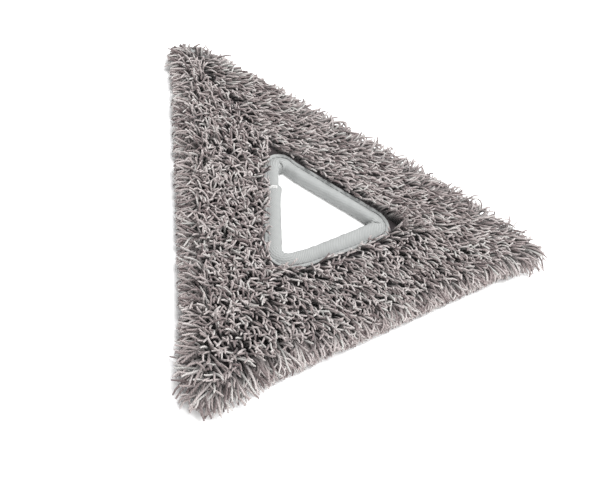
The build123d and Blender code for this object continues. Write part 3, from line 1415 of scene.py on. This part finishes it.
@dataclass
class OpeningTape(FoldedTape):
    """The soft rolled tape of the steam opening, creased at the tips and lapped near the rear left one.

    The roll is free up to the distances from the fold in sewn_from, where the seam holds it down.  Its ripples
    are sines of the way round, with the rates in ripple_rates in radians a metre.  plump is how far it swells
    into the opening, gather how far it is drawn back round a tip and crease how deep the pinch there is.  The
    lap ends lap_at from the middle of the left side, and beyond it the single tape is single narrower.
    """

    datum: Datum = field(default_factory=Datum)
    sewn_from: tuple[float, float] = (6.8 * MM, 9.0 * MM)
    ripple: float = 0.16 * MM
    ripple_rates: tuple[float, float, float] = (410.0, 1130.0, 690.0)
    gather: float = 2.6 * MM
    crease: float = 4.6 * MM
    crease_width: float = 0.06
    near_crease: float = 0.3
    single: float = 1.1 * MM
    plump: float = 0.8 * MM
    lap_at: float = 19 * MM
    lap_long: float = 10 * MM
    lap_step: float = 0.75 * MM
    lap_edge: float = 0.35 * MM
    push: float = 2.2 * MM

    def pushed(self, station: Station) -> float:
        """How far the near roll leans into the opening, more and more towards the right-hand tip.

        Args:
            station: the place on the way round.

        Returns:
            The distance in metres.
        """
        if station.on_corner:
            return self.push * (1 - smooth(station.share, 0.0, 0.6)) if station.index == RIGHT_TIP else 0.0
        return self.push * station.share**1.3 if station.index == RIGHT_RUN else 0.0

    def shape(self, station: Station, spot: tuple[float, float], place: float) -> tuple[float, float]:
        """Ripples along the roll, a pinched crease at each tip, and the step of the lap.

        Args:
            station: the place on the way round.
            spot: the point's distance from the fold and its height.
            place: the way covered up to there, in metres.

        Returns:
            The point's new distance and height.
        """
        inset, height = spot
        top = self.section[-1][1]
        upper = smooth(height, 0.2 * top, 0.8 * top)
        free = 1 - smooth(inset, *self.sewn_from)
        slow, quick, sideways = self.ripple_rates
        wave = math.sin(place * slow) + 0.7 * math.sin(place * quick + 1.3 + 400 * inset)
        height += self.ripple * wave * free * upper
        inset += 0.8 * self.ripple * math.sin(place * sideways + 2.1) * free
        inset -= self.plump * (1 - smooth(inset, 2 * MM, 8 * MM))
        inset -= self.pushed(station) * (1 - smooth(inset, 1.5 * MM, 9 * MM))
        if station.on_corner:
            return self.creased(station, inset, height, upper)
        if station.index == LEFT_RUN:
            return self.lapped(station, inset, height, upper)
        return inset, height

    def creased(self, station: Station, inset: float, height: float, upper: float) -> tuple[float, float]:
        """The tape gathered round a tip, with a sharp pinch in the middle of it.

        Args:
            station: the place on the tip's arc.
            inset: distance of the point from the fold.
            height: its height.
            upper: its share in the upper face.

        Returns:
            The point's new inset and height.
        """
        deep = self.near_crease if station.index == NEAR_TIP else 1.0
        near = 1 - smooth(inset, 1.5 * MM, 7 * MM)
        full = (1 - (2 * station.share - 1) ** 2) ** 2
        pinch = bell(station.share - 0.5, self.crease_width)
        inset += deep * near * (self.crease * pinch - self.gather * full)
        return inset, height - 0.4 * deep * self.crease * pinch * near * upper

    def lapped(self, station: Station, inset: float, height: float, upper: float) -> tuple[float, float]:
        """The step where the tape's end lies over its start, and the single tape beyond it.

        Args:
            station: the place on the left side.
            inset: distance of the point from the fold.
            height: its height.
            upper: its share in the upper face.

        Returns:
            The point's new inset and height.
        """
        side = self.fold.arc_point(LEFT_TIP, 1.0) - self.fold.arc_point(NEAR_TIP, 0.0)
        toward_tip = (0.5 - station.share) * side.length
        over = smooth(toward_tip, self.lap_at - self.lap_long, self.lap_at - 0.5 * self.lap_long)
        over *= 1 - smooth(toward_tip, self.lap_at - self.lap_edge, self.lap_at + self.lap_edge)
        proud = self.lap_step * over * (1 - smooth(inset, 7.6 * MM, 9.0 * MM))
        beyond = smooth(toward_tip, self.lap_at - 0.5 * MM, self.lap_at + 0.5 * MM)
        inset += (self.single * beyond - proud) * (1 - smooth(inset, 1.5 * MM, 6 * MM))
        return inset, height + proud * upper

    def settled(self, spot: Vector) -> Vector:
        """Follows the opening as it was cut."""
        return self.datum.hand_cut(spot)


@dataclass
class Bindings:
    """Both tapes with their sections, and their whole widths before folding."""

    datum: Datum
    finishes: Finishes
    opening_width: float = 30 * MM
    edge_width: float = 19 * MM

    def opening(self) -> bpy.types.Object:
        """The tape round the steam opening: a soft roll, a sunk seam and a narrow flat lip.

        Returns:
            The tape.
        """
        rows = (
            (12.0, 0.1), (11.2, 0.05), (10.0, 0.1), (9.3, 0.4), (8.6, 0.3), (7.8, 0.08), (5.4, 0.0),
            (2.4, 0.05), (0.9, 0.4), (0.2, 1.4), (0.0, 3.0), (0.3, 4.8), (1.15, 6.2), (2.6, 7.15),
            (4.2, 7.45), (5.8, 7.2), (7.2, 6.65), (8.3, 6.05), (8.9, 5.6), (9.35, 5.55), (9.8, 6.0),
            (10.4, 6.25), (11.2, 6.3), (12.0, 6.25),
        )
        section = [(x * MM, z * MM) for x, z in rows]
        piece = OpeningTape("opening_tape_cloth", self.datum.clear, 1.0, section, datum=self.datum).build()
        piece.data.materials.append(self.finishes.tape)
        settle(piece, "binding_tape", "opening_tape")
        path = self.datum.clear.grown(0.5 * self.datum.opening_tape_face).length
        return piece

    def edge(self) -> bpy.types.Object:
        """The tape round the outer edge, hidden under the fringe from above.

        Returns:
            The tape.
        """
        rows = (
            (6.5, 0.15), (5.6, 0.1), (4.5, 0.35), (3.5, 0.12), (2.4, 0.0), (1.0, 0.5), (0.25, 1.7),
            (0.0, 3.4), (0.25, 5.3), (1.0, 6.6), (2.4, 7.1), (3.5, 7.0), (4.3, 6.6), (5.2, 7.0), (6.5, 7.0),
        )
        section = [(x * MM, z * MM) for x, z in rows]
        tape = FoldedTape("edge_tape_cloth", self.datum.cloth, -1.0, section, per_side=70, per_corner=12)
        piece = tape.build()
        piece.data.materials.append(self.finishes.tape)
        settle(piece, "binding_tape", "edge_tape")
        return piece


# ------------------------------------------------------------------------------------------------------ seams


@dataclass
class Seams:
    """Every line of stitches, set along its path by a Geometry Nodes tree.

    The tops are where the needle threads leave the tapes' upper faces, and under is where the bobbin threads
    leave the lower ones.
    """

    datum: Datum
    finishes: Finishes
    thread: float = 0.55 * MM
    pitch: float = 4 * MM
    shown: float = 3.1 * MM
    rise: float = 0.3 * MM
    sink: float = -0.12 * MM
    opening_top: float = 5.6 * MM
    edge_top: float = 6.7 * MM
    under: float = 0.45 * MM
    tack_top: float = 7.9 * MM
    tack_half: float = 2.6 * MM
    tack_inner_rise: float = 0.3 * MM
    tack_outer_fall: float = 1.3 * MM

    def tree(self) -> Builder:
        """The tree: one arched stitch on each point of a path.

        Returns:
            The tree.
        """
        b = Builder("stitch_row")
        pitch, shown, thread = b.asks("Pitch"), b.asks("Stitch length"), b.asks("Thread")
        rise, turn = b.asks("Rise"), b.asks("Turn")
        seed, material = b.asks("Seed", "NodeSocketInt"), b.asks("Material", "NodeSocketMaterial")
        path = b.node("GeometryNodeMeshToCurve", {"Mesh": b.start.outputs[0]}).outputs[0]
        path = b.node("GeometryNodeResampleCurve", {"Curve": path, "Length": pitch}, mode="LENGTH").outputs[0]
        tangent = b.node("GeometryNodeInputTangent").outputs[0]
        way = b.turned(tangent, b.math("ADD", turn, b.chance(-0.07, 0.07, seed)))
        facing = b.node("FunctionNodeAlignRotationToVector", {"Vector": way}, axis="X").outputs[0]
        half = b.math("MULTIPLY", shown, 0.5)
        arch = b.node(
            "GeometryNodeCurveQuadraticBezier",
            {
                "Resolution": 5,
                "Start": b.bundle(b.math("MULTIPLY", half, -1.0), 0.0, 0.0),
                "Middle": b.bundle(0.0, 0.0, b.math("MULTIPLY", rise, 2.0)),
                "End": b.bundle(half, 0.0, 0.0),
            },
        ).outputs[0]
        stitch = b.tube(arch, thread, 6, 1.0, 0.7 * MM)
        row = b.node(
            "GeometryNodeInstanceOnPoints", {"Points": path, "Instance": stitch, "Rotation": facing}
        ).outputs[0]
        row = b.node("GeometryNodeRealizeInstances", {"Geometry": row}).outputs[0]
        b.close(b.forget(row, ("along", "twists", "turns")), material)
        return b

    @staticmethod
    def path(name: str, points: Sequence[Vector], closed: bool) -> bpy.types.Object:
        """A chain of edges for stitches to follow.

        Args:
            name: the object's name.
            points: the chain's points in order.
            closed: whether its end joins its start.

        Returns:
            The chain.
        """
        mesh = bpy.data.meshes.new(name)
        count = len(points)
        edges = [(i, (i + 1) % count) for i in range(count if closed else count - 1)]
        mesh.from_pydata([tuple(p) for p in points], edges, [])
        return new_object(name, mesh)

    def row(self, tree: Builder, name: str, line: Rounded, height: float, rise: float, node: str) -> None:
        """One thread of a lockstitch round the triangle.

        Args:
            tree: the stitching tree.
            name: the piece's name.
            line: the seam's outline.
            height: where the thread leaves the cloth.
            rise: how far a stitch arches up from there, or down if negative.
            node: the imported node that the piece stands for.
        """
        spots = [self.datum.hand_cut(line.at(station)) for station in stations(60, 16)]
        piece = self.path(name, [Vector((s.x, s.y, height)) for s in spots], closed=True)
        tree.run(
            piece,
            {
                "Pitch": self.pitch, "Stitch length": self.shown, "Thread": self.thread, "Rise": rise,
                "Turn": 0.0, "Seed": 3, "Material": self.finishes.grey_thread,
            },
        )
        settle(piece, "grey_thread", node)

    def build(self) -> None:
        """Sews both tapes and the bar tack."""
        tree = self.tree()
        inner = self.datum.lip.grown(-self.datum.opening_seam)
        outer = self.datum.edge_lip.grown(self.datum.edge_seam)
        self.row(tree, "opening_needle_stitches", inner, self.opening_top, self.rise, "opening_needle_thread")
        self.row(tree, "opening_bobbin_stitches", inner, self.under, self.sink, "opening_bobbin_thread")
        self.row(tree, "edge_needle_stitches", outer, self.edge_top, self.rise, "edge_needle_thread")
        self.row(tree, "edge_bobbin_stitches", outer, self.under, self.sink, "edge_bobbin_thread")
        self.tack(tree)

    def tack(self, tree: Builder) -> None:
        """The white bar tack across the lap: close stitches over a short path that follows the roll.

        Args:
            tree: the stitching tree.
        """
        low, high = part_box("lap_bar_tack")
        middle = self.datum.hand_cut(Vector(((low[0] + high[0]) / 2, (low[1] + high[1]) / 2, 0)))
        middle.z = self.tack_top
        half = Side.LEFT.outward * self.tack_half
        start = middle - half + Vector((0, 0, self.tack_inner_rise))
        end = middle + half - Vector((0, 0, self.tack_outer_fall))
        line = [start, middle, end]
        piece = self.path("lap_bar_tack_stitches", line, closed=False)
        tree.run(
            piece,
            {
                "Pitch": 0.48 * MM, "Stitch length": 2.3 * MM, "Thread": 0.42 * MM, "Rise": 0.28 * MM,
                "Turn": math.pi / 2, "Seed": 5, "Material": self.finishes.white_thread,
            },
        )
        settle(piece, "white_thread", "lap_bar_tack")


# ----------------------------------------------------------------------------------------------------- layers


@dataclass
class Layers:
    """The flat layers of the pad: ground cloth, wadding and loop lining.

    steps_across is how many steps a layer's face takes from the opening to the edge, and fill the wadding's
    share of fibre.
    """

    datum: Datum
    finishes: Finishes
    steps_across: int = 14
    loop_spacing: float = 2.1 * MM
    fill: float = 0.35

    def slab(self, name: str, low: float, high: float, rounding: float) -> bpy.types.Object:
        """A layer with soft rims that fills the space between both tapes.

        Args:
            name: the object's name.
            low: height of its underside.
            high: height of its upper side.
            rounding: how far its rims are rounded in.

        Returns:
            The object.
        """
        inner, outer = self.datum.layer_rims
        ring = stations(44, 12)
        steps = self.steps_across
        loops: list[list[Vector]] = []
        for station in ring:
            start, end = inner.at(station), outer.at(station)
            span = [self.datum.hand_cut(start.lerp(end, step / steps)) for step in range(steps + 1)]
            upper: list[Vector] = []
            under: list[Vector] = []
            for step, spot in enumerate(span):
                rim = 1 - smooth(min(step, steps - step) / steps, 0.0, 0.06)
                inset = step / steps * (end - start).length
                upper.append(Vector((spot.x, spot.y, self.datum.press(high, inset) - rounding * rim)))
                under.append(Vector((spot.x, spot.y, self.datum.press(low, inset) + rounding * rim)))
            loops.append(upper + list(reversed(under)))
        around = travelled([outer.at(station) for station in ring])
        return softened(swept(name, loops, around, travelled(loops[0])))

    def build(self, strands: Sequence[bpy.types.Object]) -> None:
        """Args:
            strands: the pieces that are rooted in the ground cloth.
        """
        inner, outer = self.datum.layer_rims
        area = outer.area - inner.area
        side, deep = 2 * math.sqrt(3) * self.datum.cloth.reach, 3 * self.datum.cloth.reach
        self.ground(area, (side, deep), strands)
        self.wadding()
        self.lining(area, (side, deep))

    def ground(self, area: float, flat: tuple[float, float], strands: Sequence[bpy.types.Object]) -> None:
        """The knitted cloth that shows between the strands, near black: partly its own colour, partly painted
        shade deep in the pile.

        Args:
            area: the cloth's area; not used.
            flat: the two sides of its flat blank; not used.
            strands: the pieces that are rooted in it; not used.
        """
        low, high = (corner[2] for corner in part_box("pile_ground_cloth"))
        piece = self.slab("pile_ground_knit", low, high, 0.3 * MM)
        piece.data.materials.append(self.finishes.ground)
        settle(piece, "ground_knit", "pile_ground_cloth")

    def wadding(self) -> None:
        """The felt between the cloths."""
        low, high = (corner[2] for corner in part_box("absorbent_wadding"))
        piece = self.slab("wadding_felt", low + 0.02 * MM, high - 0.02 * MM, 0.9 * MM)
        piece.data.materials.append(self.finishes.felt)
        settle(piece, "felt_wadding", "absorbent_wadding")

    def lining(self, area: float, flat: tuple[float, float]) -> None:
        """The tricot of the lining, with its brushed loops underneath.

        Args:
            area: the cloth's area; not used.
            flat: the two sides of its flat blank; not used.
        """
        low, high = (corner[2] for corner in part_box("loop_lining"))
        piece = self.slab("lining_knit", low + 0.75 * MM, high, 0.2 * MM)
        piece.data.materials.append(self.finishes.lining)
        settle(piece, "brushed_loop", "loop_lining")
        loops = self.loops(low + 0.8 * MM)

    def loop_tree(self) -> Builder:
        """The tree of brushed loops: a small slanting arch on each point of a surface.

        Returns:
            The tree.
        """
        b = Builder("brushed_loops")
        spacing, yarn, width, depth = b.asks("Spacing"), b.asks("Yarn"), b.asks("Width"), b.asks("Depth")
        seed, material = b.asks("Seed", "NodeSocketInt"), b.asks("Material", "NodeSocketMaterial")
        spots = b.node(
            "GeometryNodeDistributePointsOnFaces",
            {"Mesh": b.start.outputs[0], "Distance Min": spacing, "Density Max": 1.5e6, "Seed": seed},
            distribute_method="POISSON",
        ).outputs["Points"]
        half = b.math("MULTIPLY", width, 0.5)
        arch = b.node(
            "GeometryNodeCurveQuadraticBezier",
            {
                "Resolution": 4,
                "Start": b.bundle(b.math("MULTIPLY", half, -1.0), 0.0, 0.0),
                "Middle": b.bundle(0.0, half, b.math("MULTIPLY", depth, -2.0)),
                "End": b.bundle(half, 0.0, 0.0),
            },
        ).outputs[0]
        loop = b.tube(arch, yarn, 4, 1.0, 1.5 * MM)
        turn = b.node(
            "FunctionNodeEulerToRotation", {0: b.bundle(0.0, 0.0, b.chance(0.0, TURN, seed))}
        ).outputs[0]
        size = b.chance(0.8, 1.1, b.math("ADD", seed, 1.0))
        rows = b.node(
            "GeometryNodeInstanceOnPoints",
            {"Points": spots, "Instance": loop, "Rotation": turn, "Scale": size},
        ).outputs[0]
        rows = b.node("GeometryNodeRealizeInstances", {"Geometry": rows}).outputs[0]
        b.close(b.forget(rows, ("along", "twists", "turns")), material)
        return b

    def loops(self, height: float) -> bpy.types.Object:
        """Brushed loops all over the part of the lining that both tapes leave bare.

        Args:
            height: where the loops leave the lining.

        Returns:
            The loops.
        """
        inner = self.datum.lip.grown(0.5 * MM)
        outer = self.datum.edge_lip.grown(-0.5 * MM, self.datum.clear_corner)
        ring = stations(30, 10)
        near = [self.datum.hand_cut(inner.at(station)) for station in ring]
        far = [outer.at(station) for station in ring]
        count = len(ring)
        points = [(p.x, p.y, height) for p in near + far]
        faces = [(i, (i + 1) % count, count + (i + 1) % count, count + i) for i in range(count)]
        mesh = bpy.data.meshes.new("lining_loops")
        mesh.from_pydata(points, [], faces)
        piece = new_object("lining_loops", mesh)
        self.loop_tree().run(
            piece,
            {
                "Spacing": self.loop_spacing, "Yarn": 0.4 * MM, "Width": 1.7 * MM, "Depth": 0.5 * MM,
                "Seed": 9, "Material": self.finishes.loops,
            },
        )
        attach(piece, BODY)
        report(piece)
        return piece


# -------------------------------------------------------------------------------------------- pieces and room


def report(piece: bpy.types.Object) -> None:
    """Says how many faces a piece has."""
    log.info("%s: %d faces", piece.name, len(piece.data.polygons))


def settle(piece: bpy.types.Object, slot: str, *nodes: str) -> None:
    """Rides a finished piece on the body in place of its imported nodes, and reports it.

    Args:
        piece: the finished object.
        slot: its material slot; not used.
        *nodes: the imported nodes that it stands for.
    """
    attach(piece, BODY)
    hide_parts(*nodes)
    report(piece)


@dataclass(frozen=True)
class Lamp:
    """A square soft light that faces the pad, by its place and size in metres and its power in watts."""

    name: str
    spot: tuple[float, float, float]
    size: float
    power: float

    def build(self) -> None:
        """Hangs the light."""
        data = bpy.data.lights.new(self.name, "AREA")
        data.size, data.energy = self.size, self.power
        lamp = bpy.data.objects.new(self.name, data)
        lamp.location = self.spot
        lamp.rotation_euler = Vector(self.spot).to_track_quat("Z", "Y").to_euler()
        bpy.context.scene.collection.objects.link(lamp)


@dataclass
class Studio:
    """Pale floor, soft light from all round and above, and the camera.

    bearing, height and roll are the camera's angles in degrees, lens and sensor are in millimetres, and air
    is the strength of the light from all round.
    """

    look_at: Vector = field(default_factory=lambda: Vector((4.9 * MM, -30.8 * MM, 0.0)))
    distance: float = 0.534
    bearing: float = 0.9
    height: float = 45.0
    roll: float = 30.1
    lens: float = 50.2
    sensor: float = 36.0
    floor_size: float = 8.0
    air: float = 0.46
    lamps: tuple[Lamp, ...] = (
        Lamp("key_light", (0.08, 0.45, 1.2), size=1.2, power=33.0),
        Lamp("fill_light", (0.5, -0.85, 0.45), size=1.0, power=9.0),
    )

    def camera(self) -> None:
        """Places the camera by the bearing that it looks along, its height angle and its roll."""
        a, e, r = (math.radians(v) for v in (self.bearing, self.height, self.roll))
        back = Vector((math.sin(a) * math.cos(e), -math.cos(a) * math.cos(e), math.sin(e)))
        across = Vector((0, 0, 1)).cross(back).normalized()
        upright = back.cross(across)
        right = across * math.cos(r) + upright * math.sin(r)
        top = upright * math.cos(r) - across * math.sin(r)
        data = bpy.data.cameras.new("camera")
        data.lens, data.sensor_width = self.lens, self.sensor
        data.clip_start = 0.01
        camera = bpy.data.objects.new("camera", data)
        turn = Matrix((right, top, back)).transposed().to_4x4()
        camera.matrix_world = Matrix.Translation(self.look_at + back * self.distance) @ turn
        bpy.context.scene.collection.objects.link(camera)
        bpy.context.scene.camera = camera

    def floor(self) -> None:
        """A large pale plane under the pad."""
        half = self.floor_size / 2
        mesh = bpy.data.meshes.new("studio_floor")
        corners = [(-half, -half, 0), (half, -half, 0), (half, half, 0), (-half, half, 0)]
        mesh.from_pydata(corners, [], [(0, 1, 2, 3)])
        piece = new_object("studio_floor", mesh)
        paint = Paint("studio_paper", roughness=0.9)
        cloud = paint.noise(paint.place(), 0.6, 2.0)
        shade = paint.ramp(cloud, [(0.0, (0.93, 0.93, 0.93)), (1.0, (0.95, 0.95, 0.95))])
        piece.data.materials.append(paint.finish(shade, cloud, 0.1 * MM))

    def build(self) -> None:
        """Sets up the room."""
        self.camera()
        self.floor()
        for lamp in self.lamps:
            lamp.build()
        world = bpy.data.worlds.new("studio_air")
        world.use_nodes = True
        sky = world.node_tree.nodes["Background"]
        sky.inputs["Color"].default_value = (1.0, 1.0, 1.0, 1.0)
        sky.inputs["Strength"].default_value = self.air
        bpy.context.scene.world = world
        bpy.context.scene.view_settings.view_transform = "Standard"


def main() -> None:
    """Builds the pad from the outside in, and the room round it."""
    logging.basicConfig(level=logging.INFO, format="%(name)s: %(message)s")
    datum, finishes = Datum(), Finishes()
    Studio().build()
    strands = StringPile(datum, finishes).build()
    Layers(datum, finishes).build(strands)
    bindings = Bindings(datum, finishes)
    bindings.opening()
    bindings.edge()
    Seams(datum, finishes).build()


if __name__ == "__main__":
    main()
